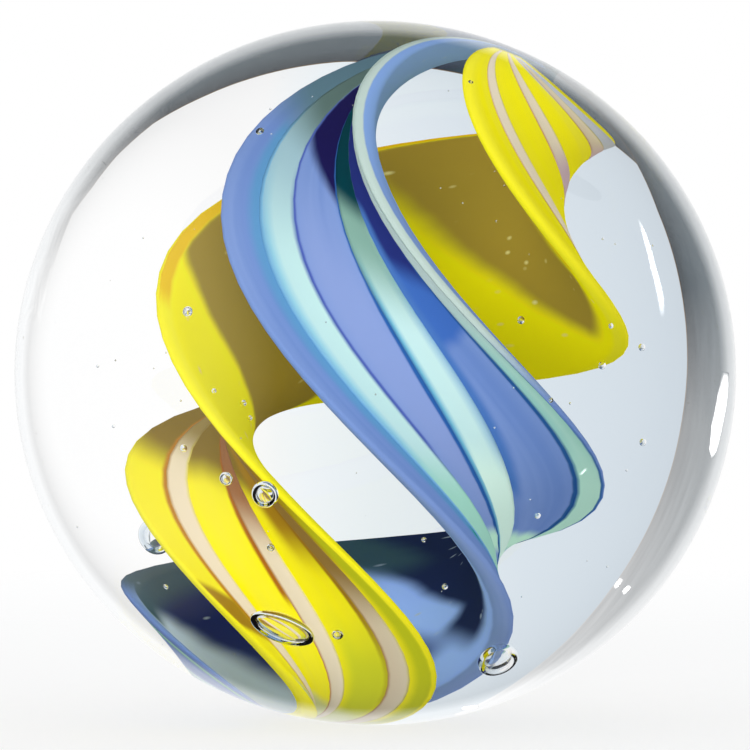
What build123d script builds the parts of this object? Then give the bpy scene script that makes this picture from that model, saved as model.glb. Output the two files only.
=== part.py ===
from build123d import *
from dataclasses import dataclass
from math import cos, pi, radians, sin, sqrt, tanh
import os

# A handmade glass marble: a clear ball that holds two opal glass ribbons, twisted together.
# Millimetres, +Z up along the ball's short axis, origin at the ball's centre.

# The ball
ball_diameter = 25.0
ball_height = 24.4

# The twist line, which both ribbons wind round from pole to pole
line_lean = 22.6  # degrees between the line and +Z
line_heading = -21.5  # degrees from +X to the side that the line's top leans to
line_shift_x = 0.19  # how far the line passes from the ball's centre, in its own level plane
line_shift_y = -1.15
start_angle = -58.5  # degrees to where the blue ribbon faces at mid height
twist_rate = -21.8  # degrees of turn for each millimetre of the line, at mid height
twist_change = 0.3  # by how much the turn slows towards the top, degrees per square millimetre
taper_power = 0.84  # how fully the ribbons fill the ball before they narrow
pole_glass = 0.35  # clear glass left over each end of the ribbons

# The ribbons, which are strips bowed across their width, on opposite sides of the twist line
ribbon_thickness = 0.8
blue_width = 9.46
blue_offset = 3.83
blue_bow_radius = 22.2
yellow_width = 9.42
yellow_offset = 2.88
yellow_bow_radius = 34.0
yellow_slip = 0.27  # how far the yellow ribbon's middle lies to one side
yellow_angle = 181.3  # degrees round the twist line from the blue ribbon to the yellow one

# The stripes, laid into the outward face of each ribbon
stripe_depth = 0.3
mint_places = (-2.45, 0.43, 4.0)  # across the blue ribbon from its middle
mint_wanders = (0.0, 1.0, 0.3)  # how far a stripe strays across the ribbon on its way up
mint_widths = (1.4, 1.4, 0.9)
blush_places = (-2.64, 0.28, 3.2)  # across the yellow ribbon from its middle
blush_wanders = (0.0, 0.0, 0.0)
blush_widths = (0.85, 0.9, 0.9)
wander_length = 3.0  # length of the line over which the stripes stray

# How finely the ribbons are drawn along the line
stations = 24


@dataclass
class Bubble:
    """An air bubble: where it lies as seen from the ball's centre, and its size."""

    heading: float  # degrees from +X, with -90 to the front
    height_angle: float  # degrees above the ball's middle
    cover: float  # glass between the ball's surface and the bubble's middle
    diameter: float
    draw: float = 1.0  # length over diameter, where the twisting drew it out


bubbles = (
    Bubble(heading=-118, height_angle=-52, cover=2.9, diameter=1.1, draw=1.8),
    Bubble(heading=-13, height_angle=-66, cover=4.3, diameter=1.1),
    Bubble(heading=-114, height_angle=-24, cover=3.9, diameter=0.8),
    Bubble(heading=-176, height_angle=-36, cover=5.8, diameter=0.9),
    Bubble(heading=-123, height_angle=-21, cover=4.1, diameter=0.4),
    Bubble(heading=-102, height_angle=-55, cover=3.1, diameter=0.35),
    Bubble(heading=-131, height_angle=12, cover=4.2, diameter=0.3),
)


@dataclass
class Ribbon:
    """A twisted strip: its width and bow, and where it stands round the twist line."""

    width: float
    offset: float
    bow_radius: float  # negative where the edges bow outwards
    slip: float
    angle: float


blue = Ribbon(blue_width, blue_offset, blue_bow_radius, 0, 0)
yellow = Ribbon(yellow_width, yellow_offset, -yellow_bow_radius, yellow_slip, yellow_angle)

half_width = ball_diameter / 2
half_height = ball_height / 2
line_direction = Vector(0, 0, 1).rotate(Axis.Y, line_lean).rotate(Axis.Z, line_heading)
line_x = (Vector(1, 0, 0) - line_direction * line_direction.X).normalized()
line_y = line_direction.cross(line_x)
line_middle = line_x * line_shift_x + line_y * line_shift_y


def rounded(vector):
    """The vector with its height stretched as much as the ball is flattened."""
    return Vector(vector.X, vector.Y, vector.Z * half_width / half_height)


# Half the length of the twist line inside the ball, and how much of it the ribbons take
line_reach = sqrt(half_width**2 - rounded(line_middle).length ** 2)
line_reach = line_reach / rounded(line_direction).length
ribbon_reach = line_reach - pole_glass


def taper(height):
    """Share of their full width that the ribbons have at a height along the twist line."""
    return (1 - (height / line_reach) ** 2) ** taper_power


def level(ribbon, height):
    """Plane across the twist line whose x points out through the ribbon's face."""
    turn = radians(start_angle + twist_rate * height + twist_change * height**2 + ribbon.angle)
    outward = line_x * cos(turn) + line_y * sin(turn)
    return Plane(line_middle + line_direction * height, x_dir=outward, z_dir=line_direction)


def place(ribbon, height, across, depth):
    """Point in a level plane, across the ribbon from its middle and out from its middle layer."""
    share = taper(height)
    bow = ribbon.bow_radius * share
    angle = across / ribbon.bow_radius
    out = ribbon.offset * share - bow + (bow + depth) * cos(angle)
    return (out, ribbon.slip * share + (bow + depth) * sin(angle))


def bowed_arc(ribbon, height, start, end, depth):
    """Arc that follows the ribbon's bow between two places across it."""
    steps = (start, (start + end) / 2, end)
    return ThreePointArc(*(place(ribbon, height, across, depth) for across in steps))


def thickness(height):
    """Ribbon thickness, which thins less than the width does towards the poles."""
    return ribbon_thickness * sqrt(taper(height))


def ribbon_heights():
    """Stations along the twist line, closer together where the ribbons narrow."""
    return [-ribbon_reach * cos(pi * step / (stations - 1)) for step in range(stations)]


def ribbon_body(ribbon):
    """The whole ribbon, with rounded edges."""
    with BuildPart() as body:
        for height in ribbon_heights():
            edge = ribbon.width / 2 - ribbon_thickness / 2
            reach = thickness(height) / 2
            with BuildSketch(level(ribbon, height)):
                with BuildLine():
                    front = bowed_arc(ribbon, height, -edge, edge, reach)
                    back = bowed_arc(ribbon, height, edge, -edge, -reach)
                    TangentArc(front @ 1, back @ 0, tangent=front % 1)
                    TangentArc(back @ 1, front @ 0, tangent=back % 1)
                make_face()
        loft()
    return body.part


def stripe_room(ribbon, place_across, wander, width):
    """The space that a stripe takes up, open past the ribbon's face."""
    with BuildPart() as room:
        for height in ribbon_heights():
            middle = place_across + wander * tanh(height / wander_length)
            low, high = middle - width / 2, middle + width / 2
            face = thickness(height) / 2
            floor = face - stripe_depth * sqrt(taper(height))
            with BuildSketch(level(ribbon, height)):
                with BuildLine():
                    outer = bowed_arc(ribbon, height, low, high, face + stripe_depth)
                    inner = bowed_arc(ribbon, height, high, low, floor)
                    Line(outer @ 1, inner @ 0)
                    Line(inner @ 1, outer @ 0)
                make_face()
        loft()
    return room.part


def striped(ribbon, places, wanders, widths):
    """The ribbon with its stripes cut out, and the stripes that fill them."""
    body = ribbon_body(ribbon)
    rooms = [stripe_room(ribbon, *stripe) for stripe in zip(places, wanders, widths)]
    with BuildPart() as ground:
        add(body)
        for room in rooms:
            add(room, mode=Mode.SUBTRACT)
    stripes = []
    for room in rooms:
        with BuildPart() as stripe:
            add(body)
            add(room, mode=Mode.INTERSECT)
        stripes.append(stripe)
    return body, ground, stripes


def bubble_body(bubble):
    """The bubble's space: a ball, drawn out round the twist line where it is an oval."""
    tilted = Vector(1, 0, 0).rotate(Axis.Y, -bubble.height_angle)
    direction = tilted.rotate(Axis.Z, bubble.heading)
    surface = direction * (half_width / rounded(direction).length)
    middle = surface - direction * bubble.cover
    round_line = line_direction.cross(middle - line_middle)
    with BuildPart() as body:
        Sphere(bubble.diameter / 2)
        if bubble.draw > 1:
            scale(by=(1, 1, bubble.draw))
    return body.part.moved(Location(Plane(middle, z_dir=round_line)))


blue_whole, blue_ribbon, mint_stripes = striped(blue, mint_places, mint_wanders, mint_widths)
yellow_whole, yellow_ribbon, blush_stripes = striped(
    yellow, blush_places, blush_wanders, blush_widths
)

with BuildPart() as clear_glass:
    Sphere(half_width)
    scale(by=(1, 1, half_height / half_width))
    add([blue_whole, yellow_whole], mode=Mode.SUBTRACT)
    add([bubble_body(bubble) for bubble in bubbles], mode=Mode.SUBTRACT)

pieces = {"clear_glass": clear_glass, "blue_ribbon": blue_ribbon, "yellow_ribbon": yellow_ribbon}
for number, stripe in enumerate(mint_stripes, start=1):
    pieces[f"mint_stripe_{number}"] = stripe
for number, stripe in enumerate(blush_stripes, start=1):
    pieces[f"blush_stripe_{number}"] = stripe

os.makedirs("parts", exist_ok=True)
for name, piece in pieces.items():
    piece.part.label = name
    export_step(piece.part, f"parts/{name}.step")
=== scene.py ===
import random
from dataclasses import dataclass
from math import cos, pi, radians, sin, sqrt, tanh

import bmesh
import bpy
from bpy.props import FloatProperty, FloatVectorProperty, IntProperty, PointerProperty
from mathutils import Matrix, Vector


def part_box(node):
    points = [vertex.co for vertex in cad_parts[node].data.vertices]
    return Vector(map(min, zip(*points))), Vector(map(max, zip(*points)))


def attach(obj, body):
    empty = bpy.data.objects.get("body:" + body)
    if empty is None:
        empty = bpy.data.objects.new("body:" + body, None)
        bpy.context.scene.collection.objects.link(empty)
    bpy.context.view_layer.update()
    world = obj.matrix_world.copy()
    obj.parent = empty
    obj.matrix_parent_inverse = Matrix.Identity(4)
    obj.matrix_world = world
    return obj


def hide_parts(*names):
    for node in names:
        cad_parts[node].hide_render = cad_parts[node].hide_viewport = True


bl_info = {
    "name": "Glass Marble",
    "version": (1, 0, 0),
    "blender": (4, 5, 0),
    "location": "3D View > Sidebar > Marble",
    "description": "Dresses a glass marble with two twisted opal glass ribbons and air bubbles",
    "category": "Add Mesh",
}

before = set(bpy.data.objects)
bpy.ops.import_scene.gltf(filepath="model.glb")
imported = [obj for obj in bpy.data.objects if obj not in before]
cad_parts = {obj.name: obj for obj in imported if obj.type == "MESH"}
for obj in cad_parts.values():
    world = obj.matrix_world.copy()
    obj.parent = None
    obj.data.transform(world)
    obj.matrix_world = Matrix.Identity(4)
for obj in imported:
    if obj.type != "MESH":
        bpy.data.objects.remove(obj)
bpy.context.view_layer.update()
ball_low, ball_high = (Vector(corner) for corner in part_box("clear_glass"))

# Units, and the kinds of value that the panel shows

MM = 0.001
SIZE = {"subtype": "DISTANCE", "unit": "LENGTH", "precision": 5}
SIZES = {"size": 3, "unit": "LENGTH", "precision": 5}
TURN = {"subtype": "ANGLE", "unit": "ROTATION"}


def linear(code):
    """Turns an sRGB hex colour into linear red, green and blue."""
    channels = [int(code[place:place + 2], 16) / 255 for place in (1, 3, 5)]
    return tuple(c / 12.92 if c <= 0.04045 else ((c + 0.055) / 1.055) ** 2.4 for c in channels)


def colour(name, description, code):
    """A colour that the user can change."""
    return FloatVectorProperty(
        name=name, description=description, subtype="COLOR", size=3, min=0, max=1, default=linear(code)
    )


def node(tree, kind, inputs=None, stops=None, **settings):
    """Adds a node, with its settings, its colour stops, and its inputs set or linked."""
    made = tree.nodes.new(kind)
    for name, value in settings.items():
        setattr(made, name, value)
    for key, value in (inputs or {}).items():
        if isinstance(value, bpy.types.NodeSocket):
            tree.links.new(value, made.inputs[key])
        else:
            made.inputs[key].default_value = value
    if stops:
        ramp = made.color_ramp.elements
        while len(ramp) < len(stops):
            ramp.new(1)
        for element, (position, value) in zip(ramp, stops):
            element.position = position
            element.color = (*value, 1)
    return made


# Sizes, as in the part's source, in metres


class MarbleTwist(bpy.types.PropertyGroup):
    """The line that both ribbons wind round, from pole to pole."""

    lean: FloatProperty(
        name="Lean", description="Between the line and the ball's short axis", default=radians(22.6), **TURN
    )
    heading: FloatProperty(
        name="Heading", description="The side that the line's top leans to", default=radians(-21.5), **TURN
    )
    shift_x: FloatProperty(
        name="Shift", description="How far the line passes from the middle", default=0.19 * MM, **SIZE
    )
    shift_y: FloatProperty(
        name="Shift across", description="The same, at right angles", default=-1.15 * MM, **SIZE
    )
    start: FloatProperty(
        name="Start", description="Where the blue ribbon faces at mid height",
        default=radians(-58.5), **TURN
    )
    rate: FloatProperty(
        name="Rate", description="Degrees of turn for each millimetre of the line", default=-21.8
    )
    change: FloatProperty(
        name="Change", description="By how much the turn slows, degrees per square millimetre", default=0.3
    )
    taper_power: FloatProperty(
        name="Taper", description="How fully the ribbons fill the ball", default=0.84, min=0.1
    )
    pole_glass: FloatProperty(
        name="Pole glass", description="Clear glass over each end", default=0.35 * MM, **SIZE
    )
    stations: IntProperty(
        name="Stations", description="How finely the ribbons are drawn along the line", default=96, min=8
    )


class MarbleRibbons(bpy.types.PropertyGroup):
    """The two ribbons, which are strips bowed across their width."""

    thickness: FloatProperty(
        name="Thickness", description="Of both ribbons", default=0.8 * MM, min=0, **SIZE
    )
    blue_width: FloatProperty(
        name="Blue width", description="Across the bow", default=9.46 * MM, min=0, **SIZE
    )
    blue_offset: FloatProperty(
        name="Blue offset", description="From the twist line", default=3.83 * MM, **SIZE
    )
    blue_bow: FloatProperty(
        name="Blue bow", description="Radius of the bow", default=22.2 * MM, **SIZE
    )
    yellow_width: FloatProperty(
        name="Yellow width", description="Across the bow", default=9.42 * MM, min=0, **SIZE
    )
    yellow_offset: FloatProperty(
        name="Yellow offset", description="From the twist line", default=2.88 * MM, **SIZE
    )
    yellow_bow: FloatProperty(
        name="Yellow bow", description="Radius of the bow, whose edges turn out", default=34 * MM, **SIZE
    )
    yellow_slip: FloatProperty(
        name="Yellow slip", description="How far it lies to one side", default=0.27 * MM, **SIZE
    )
    yellow_angle: FloatProperty(
        name="Yellow angle", description="Round the line from the blue one", default=radians(181.3), **TURN
    )
    blue: colour("Blue opal", "Periwinkle opal glass", "#6E8DCB")
    lavender: colour("Lavender", "Paler streaks in the blue", "#86A0D6")
    yellow: colour("Yellow opal", "Lemon yellow opal glass", "#FBF10A")
    straw: colour("Straw", "Paler streaks in the yellow", "#F5EC30")


class MarbleStripes(bpy.types.PropertyGroup):
    """The stripes laid into the ribbons' outward faces."""

    depth: FloatProperty(name="Depth", description="Into the ribbon", default=0.3 * MM, min=0, **SIZE)
    proud: FloatProperty(
        name="Proud", description="How far a stripe stands out of the ribbon", default=0.01 * MM, **SIZE
    )
    wander_length: FloatProperty(
        name="Wander length", description="Of the line over which they stray", default=3 * MM, **SIZE
    )
    mint_places: FloatVectorProperty(
        name="Mint places", description="Across the blue ribbon from its middle",
        default=(-2.45 * MM, 0.43 * MM, 4 * MM), **SIZES
    )
    mint_wanders: FloatVectorProperty(
        name="Mint wanders", description="How far they stray", default=(0, 1 * MM, 0.3 * MM), **SIZES
    )
    mint_widths: FloatVectorProperty(
        name="Mint widths", description="Across the blue ribbon",
        default=(1.4 * MM, 1.4 * MM, 0.9 * MM), **SIZES
    )
    blush_places: FloatVectorProperty(
        name="Blush places", description="Across the yellow ribbon from its middle",
        default=(-2.64 * MM, 0.28 * MM, 3.2 * MM), **SIZES
    )
    blush_wanders: FloatVectorProperty(
        name="Blush wanders", description="How far they stray", default=(0, 0, 0), **SIZES
    )
    blush_widths: FloatVectorProperty(
        name="Blush widths", description="Across the yellow ribbon",
        default=(0.85 * MM, 0.9 * MM, 0.9 * MM), **SIZES
    )


class MarbleStage(bpy.types.PropertyGroup):
    """The floor, the light and the camera."""

    key_power: FloatProperty(name="Key lamp", description="Power of the lamp", default=0.52, unit="POWER")
    fill: FloatProperty(name="Fill", description="Strength of the light from all round", default=0.8)
    floor_radius: FloatProperty(name="Floor radius", description="Of the floor", default=0.5, **SIZE)
    floor: colour("Floor", "Pale floor", "#F6F7F8")
    seeds: IntProperty(name="Seeds", description="Tiny bubbles in the clear glass", default=140, min=0)


@dataclass
class Bubble:
    """An air bubble: where it lies as seen from the ball's middle, and its size.

    The angles are in degrees, with a heading of -90 to the front. cover is the glass over the bubble's
    middle and diameter its width, in millimetres. draw is its length over its width.
    """

    heading: float
    height_angle: float
    cover: float
    diameter: float
    draw: float = 1.0


BUBBLES = (
    Bubble(-118, -52, 2.9, 1.1, 1.8),
    Bubble(-13, -66, 4.3, 1.1),
    Bubble(-114, -24, 3.9, 0.8),
    Bubble(-176, -36, 5.8, 0.9),
    Bubble(-123, -21, 4.1, 0.4),
    Bubble(-102, -55, 3.1, 0.35),
    Bubble(-131, 12, 4.2, 0.3),
    Bubble(-116, -36, 4.0, 0.24),
    Bubble(-142, -17, 5.7, 0.2),
    Bubble(-63, -54, 5.35, 0.17),
    Bubble(-119, 45.3, 2.12, 0.26),
    Bubble(-18, 18.7, 8.6, 0.19),
    Bubble(-5.2, 1.9, 7.09, 0.2),
    Bubble(-4.4, 5.4, 6.01, 0.19),
    Bubble(-2.8, -14.2, 5.82, 0.19),
    Bubble(-63.1, -56.8, 7.37, 0.13),
    Bubble(-57.2, -4.8, 2.84, 0.16),
    Bubble(-28.9, 9.8, 5.22, 0.15),
    Bubble(-63.3, 53.8, 0.77, 0.17),
    Bubble(-113.9, -33.8, 3.36, 0.15),
    Bubble(-130.6, -4.1, 5.76, 0.14),
    Bubble(-135.2, -9.1, 7.68, 0.16),
    Bubble(-135.3, -14.1, 7.86, 0.13),
    Bubble(-155.2, -42.5, 3.8, 0.16),
    Bubble(-49.5, -29.5, 4.39, 0.18),
)


@dataclass
class Ribbon:
    """A twisted strip: its width and bow, and where it stands round the twist line."""

    width: float
    offset: float
    bow_radius: float
    slip: float
    angle: float


@dataclass
class Section:
    """A flat strip's outline: its middle and size across the ribbon and in depth.

    wander is how far it strays across on its way up, and limit how far across it may reach.
    """

    middle: float
    half_width: float
    centre: float
    half_thickness: float
    wander: float
    limit: float


def ribbon_of(name):
    """The blue or the yellow ribbon, from the panel's sizes."""
    sizes = bpy.context.scene.marble_ribbons
    if name == "blue":
        return Ribbon(sizes.blue_width, sizes.blue_offset, sizes.blue_bow, 0, 0)
    return Ribbon(
        sizes.yellow_width, sizes.yellow_offset, -sizes.yellow_bow, sizes.yellow_slip, sizes.yellow_angle
    )


class Winding:
    """Winds a flat strip round the twist line, inside the ball."""

    def __init__(self):
        twist = bpy.context.scene.marble_twist
        self.twist = twist
        self.half_width = (ball_high.x - ball_low.x) / 2
        self.half_height = (ball_high.z - ball_low.z) / 2
        self.thickness = bpy.context.scene.marble_ribbons.thickness
        level = sin(twist.lean)
        self.direction = Vector((level * cos(twist.heading), level * sin(twist.heading), cos(twist.lean)))
        self.x = (Vector((1, 0, 0)) - self.direction * self.direction.x).normalized()
        self.y = self.direction.cross(self.x)
        self.middle = self.x * twist.shift_x + self.y * twist.shift_y
        reach = sqrt(self.half_width ** 2 - self.rounded(self.middle).length ** 2)
        self.line_reach = reach / self.rounded(self.direction).length
        self.reach = self.line_reach - twist.pole_glass

    def rounded(self, vector):
        """The vector with its height stretched as much as the ball is flattened."""
        return Vector((vector.x, vector.y, vector.z * self.half_width / self.half_height))

    def inside(self, heading, height_angle, cover):
        """The point under the ball's surface with that much glass over it."""
        heading, lift = radians(heading), radians(height_angle)
        direction = Vector((cos(lift) * cos(heading), cos(lift) * sin(heading), sin(lift)))
        return direction * (self.half_width / self.rounded(direction).length - cover)

    def taper(self, height):
        """Share of their full width that the ribbons have at a height along the line."""
        return (1 - (height / self.line_reach) ** 2) ** self.twist.taper_power

    def wound(self, ribbon, across, depth, height):
        """Where a point of the flat strip comes to lie."""
        share = self.taper(height)
        edge = (ribbon.width - self.thickness) / 2
        on_bow = max(-edge, min(edge, across))
        past_bow = (across - on_bow) * sqrt(share)
        angle = on_bow / ribbon.bow_radius
        bow = ribbon.bow_radius * share
        radius = bow + depth * sqrt(share)
        out = ribbon.offset * share - bow + radius * cos(angle) - past_bow * sin(angle)
        side = ribbon.slip * share + radius * sin(angle) + past_bow * cos(angle)
        millimetres = height / MM
        turn = self.twist.start + ribbon.angle
        turn += radians(self.twist.rate * millimetres + self.twist.change * millimetres ** 2)
        outward = self.x * cos(turn) + self.y * sin(turn)
        sideways = self.y * cos(turn) - self.x * sin(turn)
        return self.middle + self.direction * height + outward * out + sideways * side


def finished(bm, name, material, *nodes, slot):
    """Turns the mesh into a smooth piece that stands for the CAD nodes."""
    mesh = bpy.data.meshes.new(name)
    bm.to_mesh(mesh)
    bm.free()
    mesh.shade_smooth()
    mesh.materials.append(material)
    piece = bpy.data.objects.new(name, mesh)
    bpy.context.scene.collection.objects.link(piece)
    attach(piece, "root")
    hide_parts(*nodes)
    return piece


def wind_strip(winding, ribbon, bm, section):
    """Sweeps the closed outline along the line in even steps, then winds it round the line.

    Each point keeps where it lies in the flat strip: across and in depth from -1 to 1, with 1 on the
    outward face, and along the line as a share of the reach.
    """
    twist = winding.twist
    wander_length = bpy.context.scene.marble_stripes.wander_length
    outline = bm.edges[:]
    bmesh.ops.contextual_create(bm, geom=outline)
    bmesh.ops.translate(bm, verts=bm.verts, vec=(0, 0, -1))
    bmesh.ops.spin(
        bm, geom=bm.faces[:] + outline + bm.verts[:], dvec=(0, 0, 2 / twist.stations), angle=0,
        steps=twist.stations, axis=(0, 0, 1), cent=(0, 0, 0),
    )
    strip = bm.verts.layers.float_vector.new("strip")
    for vert in bm.verts:
        height = winding.reach * sin(pi / 2 * vert.co.z)
        across, depth = vert.co.x, vert.co.y
        vert[strip] = (
            (across - section.middle) / section.half_width,
            (depth - section.centre) / section.half_thickness,
            height / winding.reach,
        )
        across = min(across + section.wander * tanh(height / wander_length), section.limit)
        vert.co = winding.wound(ribbon, across, depth, height)
    bmesh.ops.recalc_face_normals(bm, faces=bm.faces)


# Materials

GLASS_IOR = 1.52
OPAL_PAINTED_GLOW = 0.12  # strength of a faint glow in the opal's own colour: painted light that lifts its shade
STREAK_WIDTH = 1.2  # millimetres
STREAK_LENGTH = 14
STREAK_RANGE = (0.4, 0.65)  # of the noise, from the main colour to the paler one
STRIP_HALF_WIDTH = 4.7  # millimetres that the strip's coordinates run over
STRIP_HALF_LENGTH = 12
WAVE = (0.05, 0, 0.03)  # how uneven the painted borders are, as shares of the half width and the reach
SEED_CELLS = (9, 0, 22)  # places for a seed in each half width and in each half length
SEED_RADIUS = 0.17  # of a seed with its soft border, as a share of such a place
SEED_CORE = 0.05  # of its full colour
SEED_RARITY = (0.3, 0.8)  # of the places, from an empty one to one with a bright seed


def new_material(name):
    """An empty material."""
    material = bpy.data.materials.new(name)
    material.use_nodes = True
    material.node_tree.nodes.clear()
    return material


def fire_polished_glass():
    """Clear soda lime glass, melted smooth in the flame: no roughness and a bright, clean edge."""
    material = new_material("fire_polished_soda_lime_glass")
    tree = material.node_tree
    glass = node(
        tree, "ShaderNodeBsdfPrincipled",
        {"Base Color": (1, 1, 1, 1), "Roughness": 0.0, "IOR": GLASS_IOR, "Transmission Weight": 1.0},
    )
    clear = node(tree, "ShaderNodeBsdfTransparent")
    path = node(tree, "ShaderNodeLightPath")
    mixed = node(
        tree, "ShaderNodeMixShader",
        {0: path.outputs["Is Shadow Ray"], 1: glass.outputs[0], 2: clear.outputs[0]},
    )
    node(tree, "ShaderNodeOutputMaterial", {"Surface": mixed.outputs[0]})
    return material


def opal_shader(tree, base):
    """Opal glass fused into clear glass: milky, with no gloss of its own, and a faint painted glow in its
    own colour that lifts its shade.
    """
    shader = node(
        tree, "ShaderNodeBsdfPrincipled",
        {"Base Color": base, "Roughness": 0.5, "Specular IOR Level": 0.0,
         "Emission Color": base, "Emission Strength": OPAL_PAINTED_GLOW},
    )
    node(tree, "ShaderNodeOutputMaterial", {"Surface": shader.outputs[0]})


def streaks(tree, strip):
    """Soft streaks, drawn out along the strip as the glass was pulled."""
    scale = (STRIP_HALF_WIDTH / STREAK_WIDTH, 0.5, STRIP_HALF_LENGTH / STREAK_LENGTH)
    placed = node(tree, "ShaderNodeMapping", {"Vector": strip, "Scale": scale})
    noise = node(
        tree, "ShaderNodeTexNoise",
        {"Vector": placed.outputs[0], "Scale": 1.0, "Detail": 3.0, "Roughness": 0.5},
    ).outputs["Fac"]
    start, end = STREAK_RANGE
    return node(
        tree, "ShaderNodeMapRange", {"Value": noise, "From Min": start, "From Max": end}
    ).outputs[0]


# The parts of a strip's surface that a patch may lie on: a flat face alone, a face with its half of the
# rounded edges, or all of it

OUTER = 1
INNER = -1
OUTER_ROUND = 2
INNER_ROUND = -2
ALL_ROUND = 0

FLAT_FACE = 0.85  # depth, from -1 to 1, past which the surface is the flat face
PAST_FACE = 1.15
FACE_BLUR = 0.1
END = 1.2  # past every end and side of a strip


@dataclass
class Patch:
    """A soft-edged area of a strip painted in another colour: a colour of the glass itself, or painted
    shade or light.

    low and high are shares of the reach along the twist line, left and right are shares of the half
    width. soft and blur are how softly the ends and the sides fade. The ends rise by tilt towards the
    right, the sides shift by lean, and wander lets the sides follow a stripe that strays.
    """

    colour: str
    low: float
    high: float
    left: float
    right: float
    soft: float = 0.02
    blur: float = 0.04
    tilt: float = 0.0
    lean: float = 0.0
    wander: float = 0.0
    face: int = OUTER


def between(tree, value, low, high, soft):
    """1 where the value lies between low and high, and fading to 0 past them."""
    off = node(tree, "ShaderNodeMath", {0: value, 1: (low + high) / 2}, operation="SUBTRACT").outputs[0]
    off = node(tree, "ShaderNodeMath", {0: off}, operation="ABSOLUTE").outputs[0]
    half = (high - low) / 2
    return node(
        tree, "ShaderNodeMapRange", {"Value": off, "From Min": half + soft, "From Max": half - soft},
        interpolation_type="SMOOTHSTEP",
    ).outputs[0]


def painted(tree, strip, base, patches, reach):
    """The base colour with the patches laid over it in their order."""
    height = node(tree, "ShaderNodeSeparateXYZ", {0: strip}).outputs["Z"]
    wander_length = bpy.context.scene.marble_stripes.wander_length
    stray = node(
        tree, "ShaderNodeMath", {0: height, 1: reach / wander_length}, operation="MULTIPLY"
    ).outputs[0]
    stray = node(tree, "ShaderNodeMath", {0: stray}, operation="TANH").outputs[0]
    for patch in patches:
        across = node(
            tree, "ShaderNodeVectorMath", {0: strip, 1: (1, 0, patch.lean)}, operation="DOT_PRODUCT"
        ).outputs["Value"]
        if patch.wander:
            across = node(
                tree, "ShaderNodeMath", {0: stray, 1: -patch.wander, 2: across}, operation="MULTIPLY_ADD"
            ).outputs[0]
        along = node(
            tree, "ShaderNodeVectorMath", {0: strip, 1: (-patch.tilt, 0, 1)}, operation="DOT_PRODUCT"
        ).outputs["Value"]
        masks = [
            between(tree, across, patch.left, patch.right, patch.blur),
            between(tree, along, patch.low, patch.high, patch.soft),
        ]
        if patch.face != ALL_ROUND:
            way = (0, 1 if patch.face > 0 else -1, 0)
            depth = node(
                tree, "ShaderNodeVectorMath", {0: strip, 1: way}, operation="DOT_PRODUCT"
            ).outputs["Value"]
            start = FLAT_FACE if patch.face in (OUTER, INNER) else 0.0
            masks.append(between(tree, depth, start, PAST_FACE, FACE_BLUR))
        mask = masks[0]
        for other in masks[1:]:
            mask = node(tree, "ShaderNodeMath", {0: mask, 1: other}, operation="MULTIPLY").outputs[0]
        base = node(
            tree, "ShaderNodeMix", {0: mask, 6: base, 7: (*linear(patch.colour), 1)}, data_type="RGBA"
        ).outputs[2]
    return base


def seeds(tree, strip, base, code):
    """Fine seeds on the inner face, where the ribbon was laid on the clear glass."""
    placed = node(tree, "ShaderNodeMapping", {"Vector": strip, "Scale": SEED_CELLS})
    cells = node(tree, "ShaderNodeTexVoronoi", {"Vector": placed.outputs[0], "Scale": 1.0})
    mask = node(
        tree, "ShaderNodeMapRange",
        {"Value": cells.outputs["Distance"], "From Min": SEED_RADIUS, "From Max": SEED_CORE},
    ).outputs[0]
    taken = node(tree, "ShaderNodeSeparateColor", {0: cells.outputs["Color"]}).outputs[0]
    start, end = SEED_RARITY
    taken = node(
        tree, "ShaderNodeMapRange", {"Value": taken, "From Min": start, "From Max": end}
    ).outputs[0]
    inner = node(
        tree, "ShaderNodeVectorMath", {0: strip, 1: (0, -1, 0)}, operation="DOT_PRODUCT"
    ).outputs["Value"]
    inner = node(tree, "ShaderNodeMapRange", {"Value": inner, "From Min": 0.8, "From Max": 1.0}).outputs[0]
    for other in (taken, inner):
        mask = node(tree, "ShaderNodeMath", {0: mask, 1: other}, operation="MULTIPLY").outputs[0]
    return node(
        tree, "ShaderNodeMix", {0: mask, 6: base, 7: (*linear(code), 1)}, data_type="RGBA"
    ).outputs[2]


def wavy(tree, strip):
    """The strip's own coordinates, a little uneven, as hand pulled glass is."""
    noise = node(
        tree, "ShaderNodeTexNoise", {"Vector": strip, "Scale": 2.5, "Detail": 2.0, "Roughness": 0.5}
    ).outputs["Color"]
    off = node(
        tree, "ShaderNodeVectorMath", {0: noise, 1: (0.5, 0.5, 0.5)}, operation="SUBTRACT"
    ).outputs[0]
    return node(
        tree, "ShaderNodeVectorMath", {0: off, 1: WAVE, 2: strip}, operation="MULTIPLY_ADD"
    ).outputs[0]


def ribbon_opal(name, main, pale, patches, seed_code, reach):
    """Rods of opal glass, melted together and pulled.

    That gives long soft streaks and darker lines, and the patches lay painted shade and light over the
    strip.
    """
    material = new_material(name)
    tree = material.node_tree
    strip = node(tree, "ShaderNodeAttribute", attribute_name="strip").outputs["Vector"]
    base = node(
        tree, "ShaderNodeMix", {0: streaks(tree, strip), 6: (*main, 1), 7: (*pale, 1)}, data_type="RGBA"
    ).outputs[2]
    base = painted(tree, wavy(tree, strip), base, patches, reach)
    opal_shader(tree, seeds(tree, strip, base, seed_code))
    return material


def stripe_opal(name, stops, patches, reach):
    """A thin cane of opal glass, melted into the ribbon: one side sharp, the other thinned out."""
    material = new_material(name)
    tree = material.node_tree
    strip = node(tree, "ShaderNodeAttribute", attribute_name="strip").outputs["Vector"]
    across = node(tree, "ShaderNodeSeparateXYZ", {0: strip}).outputs["X"]
    across = node(tree, "ShaderNodeMapRange", {"Value": across, "From Min": -1.0}).outputs[0]
    stops = [(place, linear(code)) for place, code in stops]
    ramp = node(tree, "ShaderNodeValToRGB", {0: across}, stops=stops)
    opal_shader(tree, painted(tree, strip, ramp.outputs[0], patches, reach))
    return material


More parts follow.
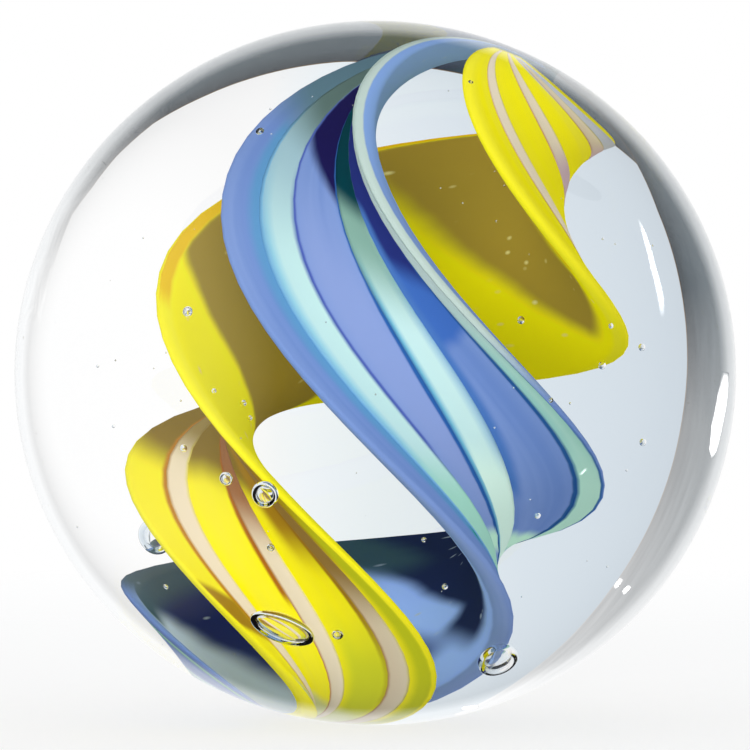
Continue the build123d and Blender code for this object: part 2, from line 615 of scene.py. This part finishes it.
def pale_matte_floor(tone):
    """Matt painted board. Past the marble's shadow it fades out into the white round it."""
    material = new_material("pale_matte_floor")
    tree = material.node_tree
    matte = node(tree, "ShaderNodeBsdfDiffuse", {"Color": (*tone, 1)})
    white = node(tree, "ShaderNodeEmission", {"Color": (1, 1, 1, 1), "Strength": 1.0})
    path = node(tree, "ShaderNodeLightPath")
    share = node(
        tree, "ShaderNodeMath", {0: path.outputs["Is Camera Ray"], 1: FLOOR_WHITE}, operation="MULTIPLY"
    )
    board = node(
        tree, "ShaderNodeMixShader", {0: share.outputs[0], 1: matte.outputs[0], 2: white.outputs[0]}
    )
    clear = node(tree, "ShaderNodeBsdfTransparent")
    place = node(tree, "ShaderNodeTexCoord").outputs["Object"]
    off_middle = node(tree, "ShaderNodeVectorMath", {0: place}, operation="LENGTH").outputs["Value"]
    start, end = FLOOR_FADE
    fade = node(tree, "ShaderNodeMapRange", {"Value": off_middle, "From Min": start, "From Max": end})
    mixed = node(
        tree, "ShaderNodeMixShader", {0: fade.outputs[0], 1: board.outputs[0], 2: clear.outputs[0]}
    )
    node(tree, "ShaderNodeOutputMaterial", {"Surface": mixed.outputs[0]})
    return material


def glowing_card(name, stops, strength, rim):
    """A shining card: colours from its inner to its outer edge, a white end and a soft rim."""
    material = new_material(name)
    tree = material.node_tree
    place = node(tree, "ShaderNodeAttribute", attribute_name="card").outputs["Vector"]
    parts = node(tree, "ShaderNodeSeparateXYZ", {0: place})
    across = node(tree, "ShaderNodeMapRange", {"Value": parts.outputs["X"], "From Min": -1.0})
    stops = [(position, linear(code)) for position, code in stops]
    shade = node(tree, "ShaderNodeValToRGB", {0: across.outputs[0]}, stops=stops).outputs[0]
    end = node(
        tree, "ShaderNodeMapRange", {"Value": parts.outputs["Y"], "From Min": -0.2, "From Max": 0.85}
    ).outputs[0]
    shade = node(
        tree, "ShaderNodeMix", {0: end, 6: shade, 7: (1, 1, 1, 1)}, data_type="RGBA"
    ).outputs[2]
    off = node(tree, "ShaderNodeVectorMath", {0: place}, operation="ABSOLUTE").outputs[0]
    off = node(tree, "ShaderNodeSeparateXYZ", {0: off})
    power = strength
    for side in ("X", "Y"):
        soft = node(
            tree, "ShaderNodeMapRange",
            {"Value": off.outputs[side], "From Min": 1.0, "From Max": 1.0 - rim,
             "To Min": 0.0 if rim else 1.0},
        ).outputs[0]
        power = node(tree, "ShaderNodeMath", {0: power, 1: soft}, operation="MULTIPLY").outputs[0]
    noise = node(tree, "ShaderNodeTexNoise", {"Vector": place, "Scale": 6.0, "Detail": 4.0}).outputs["Fac"]
    uneven = node(
        tree, "ShaderNodeMapRange",
        {"Value": noise, "From Min": 0.3, "From Max": 0.7, "To Min": 0.9, "To Max": 1.1},
    ).outputs[0]
    power = node(tree, "ShaderNodeMath", {0: power, 1: uneven}, operation="MULTIPLY").outputs[0]
    shine = node(tree, "ShaderNodeEmission", {"Color": shade, "Strength": power})
    node(tree, "ShaderNodeOutputMaterial", {"Surface": shine.outputs[0]})
    return material


# Patches on the ribbons: lines and colour changes in the glass, and painted shade, painted light and a
# painted reflection, each marked below

BLUE_PATCHES = (
    # The outward face: its lavender middle panel, the teal streak by the first stripe, and painted shade
    # that darkens the upper panels
    Patch("#889DD2", -0.15, 0.32, -0.35, 0.08, soft=0.12, blur=0.12),
    Patch("#5F98C8", -0.22, 0.42, -0.745, -0.60, blur=0.05),
    # Painted shade over the upper panels: mid blue at its edge, then navy, violet and grey green
    Patch("#416EBE", 0.10, 0.70, 0.30, END, soft=0.012, blur=0.08, tilt=0.176),
    Patch("#26327A", 0.31, END, 0.40, END, soft=0.03, blur=0.05),
    Patch("#1A1650", 0.384, END, -0.36, 0.35, soft=0.02, tilt=-0.12),
    Patch("#5E7F8E", 0.43, END, -1.10, -0.60, soft=0.04),
    # The lines beside the stripes
    Patch("#4B78BE", -0.10, 0.40, 0.20, 0.31, blur=0.05, wander=0.211),
    Patch("#2D62A8", -0.22, 0.60, -0.085, -0.045, blur=0.012, wander=0.211),
    Patch("#4C60B4", -0.05, 0.50, -0.38, -0.345, blur=0.015),
    Patch("#285A96", -0.22, 0.35, 0.72, 0.76, blur=0.012, wander=0.063),
    Patch("#3C6EAF", -0.22, 0.20, 0.93, 0.965, blur=0.012, wander=0.063),
    # Mint across the lowest fold, painted paler against the shade where it faces down, and its green tip
    Patch("#C8F5DC", -0.225, -0.185, -0.60, END, soft=0.012, tilt=0.012),
    Patch("#1E9678", -0.205, -0.185, -0.70, -0.60, soft=0.01, blur=0.03),
    # The inner face, painted paler than the outward face to make up for the shade it lies in, with its
    # greyer top, a painted band of light at its bottom, and the sage edge at the top
    Patch("#90B4FF", -END, END, -END, END, face=INNER),
    Patch("#7FA2DC", 0.50, END, -END, 1.30, soft=0.1, face=INNER_ROUND),
    # Painted light: a pale band along the bottom of the inner face
    Patch("#C4DAFF", -0.80, -0.58, -END, END, soft=0.02, face=INNER),
    Patch("#BCD0CA", 0.20, END, 0.925, 1.30, soft=0.08, blur=0.012, face=OUTER_ROUND),
    # Painted shade, dark cobalt, over the inner face of the two lowest lobes, with a grey-green border
    Patch("#16254F", -0.35, -0.10, -0.80, END, soft=0.015, blur=0.08, tilt=0.02, face=INNER),
    Patch("#16254F", -0.42, -0.25, -0.86, -0.52, soft=0.03, blur=0.07, face=INNER),
    Patch("#2E4A5C", -0.36, -0.29, 0.35, END, soft=0.02, blur=0.2, face=INNER),
    Patch("#18286E", -0.60, -0.44, -0.66, END, soft=0.03, blur=0.1, face=INNER),
    Patch("#3C5A6E", -0.66, -0.42, 0.70, END, soft=0.03, blur=0.12, face=INNER),
    Patch("#4B6473", -0.58, -0.38, 0.92, 1.30, soft=0.04, blur=0.03, face=ALL_ROUND),
)
YELLOW_PATCHES = (
    # The outward face: painted shade, olive and amber, at the top of its lower lobe
    Patch("#8C7420", -0.295, -0.16, -END, END, soft=0.035),
    Patch("#A8821C", -0.38, -0.20, 0.30, END, soft=0.05, blur=0.1),
    # The brown lines beside the stripes, and the painted shadow of the largest bubble
    Patch("#BE801E", -0.62, -0.18, -0.685, -0.64, blur=0.02),
    Patch("#A8641E", -0.50, -0.18, -0.075, -0.025, blur=0.02),
    Patch("#9C721E", -0.66, -0.18, 0.545, 0.595, blur=0.02),
    # Painted shadow of the largest bubble
    Patch("#A8841C", -0.62, -0.545, -END, -0.66, soft=0.012, blur=0.05),
    # Greener glass to the right, the lilac grey end, and a painted reflection that makes the bottom paler
    Patch("#D2D72A", -0.80, -0.52, 0.20, 0.60, soft=0.08, blur=0.1),
    Patch("#C8CD1E", -0.80, -0.30, 0.82, END, soft=0.05, blur=0.06),
    Patch("#C3C8D7", 0.50, END, 1.14, 2.20, blur=0.03, lean=0.68),
    Patch("#82465A", 0.54, 0.70, 1.09, 1.14, blur=0.015, lean=0.68),
    # Painted reflection: a paler band over the bottom
    Patch("#D8DC96", -END, -0.72, -END, END, soft=0.02),
    # The inner face, with painted shade: olive areas with amber at their borders
    Patch("#FFF200", -END, END, -END, END, face=INNER),
    Patch("#A58C30", 0.248, 0.425, -0.86, END, soft=0.025, blur=0.06, tilt=0.032, face=INNER),
    Patch("#EEC410", 0.42, 0.48, -END, END, soft=0.01, face=INNER),
    Patch("#A0882E", -0.18, 0.03, -END, END, soft=0.012, tilt=0.264, face=INNER),
    Patch("#EEC410", 0.0, 0.48, 0.965, END, blur=0.01, face=INNER_ROUND),
)
BLUE_SEEDS = "#A0B4D2"
YELLOW_SEEDS = "#E6DC8C"

# The stripes: their colours from side to side, and their patches

MINT_STOPS = (
    ((0, "#69A5D4"), (0.2, "#96CDDE"), (0.4, "#BEE2E2"), (0.88, "#C0E4E2"), (1, "#4B5FB4")),
    ((0, "#285AA0"), (0.1, "#6EB4CD"), (0.25, "#C3E6E4"), (0.7, "#C8E9E6"), (1, "#8CB9D7")),
    ((0, "#235596"), (0.15, "#96CDC3"), (0.5, "#AAD7C8"), (0.85, "#9BCDBE"), (1, "#3C6EAF")),
)
MINT_PATCHES = (
    (
        Patch("#AAE1CD", -0.30, -0.09, -0.8, 1.0, soft=0.05),
        # Painted shade: the top greys, then darkens
        Patch("#A0C3CD", 0.30, END, -0.8, 1.0, soft=0.1),
        Patch("#5F7873", 0.43, END, -END, END, soft=0.05),
    ),
    (
        # The lower end, painted paler to make up for the shade where the stripe faces down
        Patch("#DCFAEB", -0.30, -0.04, -0.7, 1.0, soft=0.05),
        # Painted shade: the top greys, then turns dark teal
        Patch("#86AFA0", 0.25, END, -END, END, soft=0.08),
        Patch("#003C46", 0.38, END, -END, END, soft=0.03),
    ),
    (
        # The lower end, painted paler to make up for the shade where the stripe faces down
        Patch("#BEEBD7", -0.30, 0.02, -0.7, 0.9, soft=0.08),
        Patch("#B9CDC8", 0.25, END, -END, END, soft=0.08, face=ALL_ROUND),
    ),
)
BLUSH_STOPS = (
    ((0, "#C8A060"), (0.15, "#ECE0C8"), (0.85, "#ECE0C8"), (1, "#E6DC78")),
    ((0, "#B98250"), (0.15, "#E2D6BC"), (0.85, "#ECE0C8"), (1, "#E6DC78")),
    ((0, "#AA824B"), (0.15, "#D7C8AF"), (0.85, "#E0D4BA"), (1, "#D7CD6E")),
)
BLUSH_PATCHES = (
    (
        # Painted shade at the top of the yellow's lower lobe
        Patch("#A08C50", -0.26, -0.16, -END, END, soft=0.035),
    ),
    (
        # Painted shade at the top of the yellow's lower lobe
        Patch("#A06E46", -0.36, -0.16, -END, END, soft=0.06),
        Patch("#CDB4BE", 0.40, 0.62, -END, END, soft=0.06),
    ),
    (
        # Painted shade at the top of the yellow's lower lobe
        Patch("#96783C", -0.44, -0.16, -END, END, soft=0.06),
        Patch("#CDB4BE", 0.40, 0.62, -END, END, soft=0.06),
    ),
)


# The pieces

BUBBLE_SEGMENTS = 32
BUBBLE_RINGS = 20
BALL_SEGMENTS = 192
BALL_RINGS = 96
EDGE_POINTS = 20  # round both rounded edges of a ribbon
FACE_CUTS = 31  # across each face of a ribbon
STRIPE_STEPS = 8  # across a stripe
ROUNDED_OFF = 0.3  # of the ribbon's thickness, left free of stripe at its rounded edge
SEED_DEPTHS = (0.5, 8)  # millimetres under the surface
SEED_RADII = (0.015, 0.035)  # millimetres


def add_moved(bm, shape, matrix):
    """Adds a moved copy of the shape to the mesh."""
    copy = bpy.data.meshes.new("copy")
    shape.to_mesh(copy)
    copy.transform(matrix)
    bm.from_mesh(copy)
    bpy.data.meshes.remove(copy)


class MARBLE_OT_clear_glass(bpy.types.Operator):
    """Make the clear glass ball with the air bubbles sealed in it"""

    bl_idname = "marble.clear_glass"
    bl_label = "Clear Glass"

    def execute(self, context):
        winding = Winding()
        bm = bmesh.new()
        for bubble in BUBBLES:
            middle = winding.inside(bubble.heading, bubble.height_angle, bubble.cover * MM)
            along = winding.direction.cross(middle - winding.middle)
            shell = bmesh.ops.create_uvsphere(
                bm, u_segments=BUBBLE_SEGMENTS, v_segments=BUBBLE_RINGS, radius=bubble.diameter / 2 * MM
            )["verts"]
            bmesh.ops.scale(bm, verts=shell, vec=(1, 1, bubble.draw))
            turn = along.to_track_quat("Z", "Y").to_matrix().to_4x4()
            bmesh.ops.transform(bm, verts=shell, matrix=Matrix.Translation(middle) @ turn)
        self.add_seeds(winding, bm, context.scene.marble_stage.seeds)
        bmesh.ops.reverse_faces(bm, faces=bm.faces)
        ball = bmesh.new()
        bmesh.ops.create_uvsphere(
            ball, u_segments=BALL_SEGMENTS, v_segments=BALL_RINGS, radius=winding.half_width
        )
        bmesh.ops.scale(ball, verts=ball.verts, vec=(1, 1, winding.half_height / winding.half_width))
        add_moved(bm, ball, Matrix.Identity(4))
        ball.free()
        finished(bm, "clear_glass_ball", fire_polished_glass(), "clear_glass", slot="clear_glass")
        return {"FINISHED"}

    def add_seeds(self, winding, bm, count):
        """Tiny bubbles strewn through the glass."""
        chance = random.Random(7)
        seed = bmesh.new()
        bmesh.ops.create_icosphere(seed, subdivisions=1, radius=MM)
        for _ in range(count):
            middle = winding.inside(
                chance.uniform(0, 360), chance.uniform(-80, 80), chance.uniform(*SEED_DEPTHS) * MM
            )
            add_moved(
                bm, seed, Matrix.Translation(middle) @ Matrix.Scale(chance.uniform(*SEED_RADII), 4)
            )
        seed.free()


class MARBLE_OT_ribbons(bpy.types.Operator):
    """Make the blue and the yellow ribbon, twisted together"""

    bl_idname = "marble.ribbons"
    bl_label = "Ribbons"

    def execute(self, context):
        winding = Winding()
        ribbons = context.scene.marble_ribbons
        colours = {
            "blue": (ribbons.blue, ribbons.lavender, BLUE_PATCHES, BLUE_SEEDS),
            "yellow": (ribbons.yellow, ribbons.straw, YELLOW_PATCHES, YELLOW_SEEDS),
        }
        for name, settings in colours.items():
            ribbon = ribbon_of(name)
            half = winding.thickness / 2
            side = ribbon.width / 2
            bm = bmesh.new()
            bmesh.ops.create_circle(bm, segments=EDGE_POINTS, radius=half)
            bmesh.ops.rotate(bm, verts=bm.verts, matrix=Matrix.Rotation(pi / EDGE_POINTS, 3, "Z"))
            for vert in bm.verts:
                vert.co.x += (side - half) * (1 if vert.co.x > 0 else -1)
            faces = [edge for edge in bm.edges if edge.calc_length() > side]
            bmesh.ops.subdivide_edges(bm, edges=faces, cuts=FACE_CUTS)
            wind_strip(winding, ribbon, bm, Section(0, side, 0, half, 0, side))
            material = ribbon_opal(f"{name}_soft_opal_glass", *settings, winding.reach)
            finished(bm, f"{name}_ribbon_glass", material, f"{name}_ribbon", slot=f"{name}_opal")
        return {"FINISHED"}


class MARBLE_OT_stripes(bpy.types.Operator):
    """Make the mint and the blush stripes in the ribbons' outward faces"""

    bl_idname = "marble.stripes"
    bl_label = "Stripes"

    def execute(self, context):
        winding = Winding()
        stripes = context.scene.marble_stripes
        mints = zip(
            MINT_STOPS, MINT_PATCHES, stripes.mint_places, stripes.mint_wanders, stripes.mint_widths
        )
        blushes = zip(
            BLUSH_STOPS, BLUSH_PATCHES, stripes.blush_places, stripes.blush_wanders, stripes.blush_widths
        )
        rows = {"mint": ("blue", mints), "blush": ("yellow", blushes)}
        face = winding.thickness / 2
        low, high = face - stripes.depth, face + stripes.proud
        for name, (carrier, canes) in rows.items():
            ribbon = ribbon_of(carrier)
            limit = ribbon.width / 2 - ROUNDED_OFF * winding.thickness
            for number, (stops, patches, place, wander, width) in enumerate(canes, start=1):
                piece = f"{name}_stripe_{number}"
                section = Section(place, width / 2, (low + high) / 2, (high - low) / 2, wander, limit)
                bm = self.outline(section)
                wind_strip(winding, ribbon, bm, section)
                material = stripe_opal(f"{piece}_opal_glass", stops, patches, winding.reach)
                finished(bm, f"{piece}_glass", material, piece, slot=f"{name}_opal")
        return {"FINISHED"}

    def outline(self, section):
        """The closed outline of a flat stripe: a grid's border, without what lies inside it."""
        bm = bmesh.new()
        bmesh.ops.create_grid(bm, x_segments=STRIPE_STEPS, y_segments=1, size=0.5)
        bmesh.ops.delete(bm, geom=bm.faces[:], context="FACES_ONLY")
        inner = [edge for edge in bm.edges if all(abs(vert.co.x) < 0.49 for vert in edge.verts)
                 and abs(edge.verts[0].co.x - edge.verts[1].co.x) < 0.01]
        bmesh.ops.delete(bm, geom=inner, context="EDGES")
        size = (section.half_width * 2, section.half_thickness * 2, 1)
        bmesh.ops.scale(bm, verts=bm.verts, vec=size)
        bmesh.ops.translate(bm, verts=bm.verts, vec=(section.middle, section.centre, 0))
        return bm


# The stage, in metres, with the camera's sensor and lens in millimetres

FLOOR_WHITE = 0.7  # how far the camera sees the floor as plain white
FLOOR_FADE = (0.02, 0.12)  # from the middle, between which the floor fades out
KEY_PLACE = Vector((-0.05, -0.32, 0.06))
KEY_SIZE = 0.12
CAMERA_DISTANCE = 0.15
CAMERA_SENSOR = 36
CAMERA_LENS = 207.2
CAMERA_SHIFT = (-0.0004, -0.0028)
LIT_STRENGTH = 16.0
LIT_RIM = 0.6  # soft share of a lit card
DIM_MIRRORING = 0.08  # strength of what the ball mirrors from where the studio is dark

# Grey cards that show through the glass as its dark rim, in radii of the ball: an upright one with its
# outer edge as (height, distance), and a level one with its outer edge as (side, distance)

UPRIGHT_SIDE = -0.5
UPRIGHT_INNER = 0.9
UPRIGHT_OUTER = (
    (-0.98, 1.35), (-0.46, 1.5), (-0.31, 1.595), (-0.11, 1.655),
    (0.09, 1.7), (0.5, 1.74), (1.04, 1.735), (2.2, 1.7),
)
LEVEL_HEIGHT = -0.976
LEVEL_INNER = 0.8
LEVEL_OUTER = (
    (-1.3, 2.07), (-0.12, 2.096), (0.1, 2.031), (0.58, 1.972), (0.83, 1.92),
    (1.13, 1.978), (1.45, 2.113), (1.81, 2.185), (3.0, 2.965), (6.4, 5.04),
)
GREY_CARDS = {
    "side_card": [
        ((UPRIGHT_SIDE, UPRIGHT_INNER, height), (UPRIGHT_SIDE, outer, height))
        for height, outer in UPRIGHT_OUTER
    ],
    "low_card": [
        ((side, LEVEL_INNER, LEVEL_HEIGHT), (side, outer, LEVEL_HEIGHT)) for side, outer in LEVEL_OUTER
    ],
}
GREY_STOPS = ((0, "#7F8C94"), (0.5, "#56636A"), (0.85, "#444E55"), (0.985, "#2D3136"), (1, "#8A6A3C"))
LIT_STOPS = ((0, "#FFFFFF"), (1, "#FFFFFF"))

# Lit cards that the ball mirrors as highlights: rows of an inner and an outer point, in millimetres

LIT_CARDS = {
    "upper_light": (
        ((245, 106, 151), (243, 112, 149)),
        ((260, 91, 135), (256, 106, 132)),
        ((277, 75, 110), (272, 93, 108)),
        ((289, 67, 80), (284, 87, 79)),
        ((295, 62, 60), (292, 76, 59)),
    ),
    "right_light": (
        ((191, 236, 1), (151, 263, 0)),
        ((209, 221, -14), (152, 261, -10)),
        ((216, 212, -35), (162, 255, -25)),
        ((203, 221, -48), (165, 251, -39)),
        ((184, 237, -49), (170, 247, -44)),
    ),
    "low_light_1": (((191, 158, -179), (184, 172, -173)), ((199, 155, -173), (191, 171, -166))),
    "low_light_2": (((175, 190, -162), (165, 204, -154)), ((180, 189, -157), (169, 206, -147))),
    "low_light_3": (((37, 261, -149), (31, 273, -126)), ((40, 268, -134), (32, 280, -107))),
    "front_light": (((265, -83, -138), (266, -77, -139)), ((272, -76, -127), (272, -71, -129))),
}

# What shows through the glass from left to right

STUDIO_STOPS = ((0, "#CDD8E2"), (0.35, "#DEE8F0"), (0.5, "#ECF4F9"), (0.56, "#F5FBFF"), (0.62, "#FFFFFF"))


class MARBLE_OT_stage(bpy.types.Operator):
    """Make the floor, the soft studio light and the camera"""

    bl_idname = "marble.stage"
    bl_label = "Stage"

    def execute(self, context):
        scene = context.scene
        stage = scene.marble_stage
        scene.view_settings.view_transform = "Standard"
        self.add_floor(stage)
        self.add_cards(Winding().half_width)
        self.add_key(scene, stage.key_power)
        self.add_camera(scene)
        self.light_world(scene, stage)
        return {"FINISHED"}

    def add_floor(self, stage):
        """A round floor that the marble stands on."""
        bm = bmesh.new()
        bmesh.ops.create_circle(bm, cap_ends=True, segments=96, radius=stage.floor_radius)
        bmesh.ops.translate(bm, verts=bm.verts, vec=(0, 0, ball_low.z))
        floor = self.stage_object("floor", bm)
        floor.visible_transmission = False
        floor.visible_glossy = False
        floor.data.materials.append(pale_matte_floor(stage.floor))

    def add_cards(self, ball_radius):
        """The cards that give the glass its dark rim and its highlights."""
        grey = glowing_card("grey_card", GREY_STOPS, 1.0, 0)
        for name, rows in GREY_CARDS.items():
            self.card(name, rows, grey, ball_radius, "visible_transmission")
        white = glowing_card("lit_card", LIT_STOPS, LIT_STRENGTH, LIT_RIM)
        for name, rows in LIT_CARDS.items():
            self.card(name, rows, white, MM, "visible_glossy")

    def add_key(self, scene, power):
        """A large soft lamp in front, to the left and a little above, that points at the marble."""
        key = bpy.data.lights.new("key", "AREA")
        key.shape = "DISK"
        key.size = KEY_SIZE
        key.energy = power
        lamp = bpy.data.objects.new("key", key)
        lamp.location = KEY_PLACE
        lamp.rotation_euler = KEY_PLACE.to_track_quat("Z", "Y").to_euler()
        lamp.visible_transmission = False
        lamp.visible_glossy = False
        scene.collection.objects.link(lamp)

    def add_camera(self, scene):
        """The camera, straight in front of the marble and level with its middle."""
        camera = bpy.data.cameras.new("camera")
        camera.sensor_width = CAMERA_SENSOR
        camera.lens = CAMERA_LENS
        camera.shift_x, camera.shift_y = CAMERA_SHIFT
        camera.clip_start = MM
        eye = bpy.data.objects.new("camera", camera)
        eye.location = (0, -CAMERA_DISTANCE, 0)
        eye.rotation_euler = (pi / 2, 0, 0)
        scene.collection.objects.link(eye)
        scene.camera = eye

    def stage_object(self, name, bm):
        """Turns the mesh into a piece of the stage."""
        mesh = bpy.data.meshes.new(name)
        bm.to_mesh(mesh)
        bm.free()
        made = bpy.data.objects.new(name, mesh)
        bpy.context.scene.collection.objects.link(made)
        return made

    def card(self, name, rows, material, unit, seen_by):
        """Flat card through the rows of points, seen only by one kind of ray."""
        bm = bmesh.new()
        bmesh.ops.create_grid(bm, x_segments=1, y_segments=len(rows) - 1, size=1)
        place = bm.verts.layers.float_vector.new("card")
        corners = sorted(bm.verts, key=lambda vert: (round(vert.co.y, 4), vert.co.x))
        for vert, point in zip(corners, [point for row in rows for point in row]):
            vert[place] = vert.co
            vert.co = Vector(point) * unit
        made = self.stage_object(name, bm)
        made.data.materials.append(material)
        for kind in ("camera", "diffuse", "glossy", "transmission", "volume_scatter", "shadow"):
            setattr(made, f"visible_{kind}", f"visible_{kind}" == seen_by)

    def light_world(self, scene, stage):
        """White to the camera, a pale studio through the glass, and plain light on the opal glass."""
        world = bpy.data.worlds.new("studio")
        scene.world = world
        world.use_nodes = True
        tree = world.node_tree
        tree.nodes.clear()
        path = node(tree, "ShaderNodeLightPath")
        direction = node(tree, "ShaderNodeTexCoord").outputs["Generated"]
        parts = node(tree, "ShaderNodeSeparateXYZ", {0: direction})
        side = node(tree, "ShaderNodeMapRange", {"Value": parts.outputs["X"], "From Min": -1.0})
        stops = [(position, linear(code)) for position, code in STUDIO_STOPS]
        seen = node(tree, "ShaderNodeValToRGB", {0: side.outputs[0]}, stops=stops).outputs[0]
        beyond = node(
            tree, "ShaderNodeMapRange", {"Value": parts.outputs["Y"], "From Min": 0.78, "From Max": 0.88}
        ).outputs[0]
        left = node(
            tree, "ShaderNodeMapRange", {"Value": parts.outputs["X"], "From Min": -0.5, "From Max": -0.8}
        ).outputs[0]
        mirrored = node(tree, "ShaderNodeMath", {0: beyond, 1: left}, operation="MAXIMUM").outputs[0]
        mirrored = node(
            tree, "ShaderNodeMapRange", {"Value": mirrored, "To Min": DIM_MIRRORING}
        ).outputs[0]
        diffuse = node(
            tree, "ShaderNodeMath", {0: path.outputs["Diffuse Depth"], 1: 0.5}, operation="GREATER_THAN"
        ).outputs[0]
        for share, other in (
            (path.outputs["Is Reflection Ray"], mirrored),
            (diffuse, (stage.fill, stage.fill, stage.fill, 1)),
            (path.outputs["Is Camera Ray"], (1, 1, 1, 1)),
        ):
            seen = node(
                tree, "ShaderNodeMix", {0: share, 6: seen, 7: other}, data_type="RGBA"
            ).outputs[2]
        back = node(tree, "ShaderNodeBackground", {"Color": seen, "Strength": 1.0})
        node(tree, "ShaderNodeOutputWorld", {"Surface": back.outputs[0]})


class MARBLE_PT_panel(bpy.types.Panel):
    """The marble's pieces and their settings"""

    bl_label = "Glass Marble"
    bl_idname = "MARBLE_PT_panel"
    bl_space_type = "VIEW_3D"
    bl_region_type = "UI"
    bl_category = "Marble"

    def draw(self, context):
        """Lists every setting, then the operators."""
        for name in SETTINGS:
            group = getattr(context.scene, name)
            for key in group.bl_rna.properties.keys():
                if key not in {"rna_type", "name"}:
                    self.layout.prop(group, key)
        for operator in OPERATORS:
            self.layout.operator(operator.bl_idname)


SETTINGS = {
    "marble_twist": MarbleTwist,
    "marble_ribbons": MarbleRibbons,
    "marble_stripes": MarbleStripes,
    "marble_stage": MarbleStage,
}
OPERATORS = (MARBLE_OT_clear_glass, MARBLE_OT_ribbons, MARBLE_OT_stripes, MARBLE_OT_stage)
CLASSES = (*SETTINGS.values(), *OPERATORS, MARBLE_PT_panel)


def register():
    """Makes the settings, the operators and the panel known."""
    for each in CLASSES:
        bpy.utils.register_class(each)
    for name, group in SETTINGS.items():
        setattr(bpy.types.Scene, name, PointerProperty(type=group))


def unregister():
    """Takes them away again."""
    for name in SETTINGS:
        delattr(bpy.types.Scene, name)
    for each in reversed(CLASSES):
        bpy.utils.unregister_class(each)


def main():
    """Makes the marble and its stage."""
    register()
    bpy.ops.marble.clear_glass()
    bpy.ops.marble.ribbons()
    bpy.ops.marble.stripes()
    bpy.ops.marble.stage()
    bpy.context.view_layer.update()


if __name__ == "__main__":
    main()
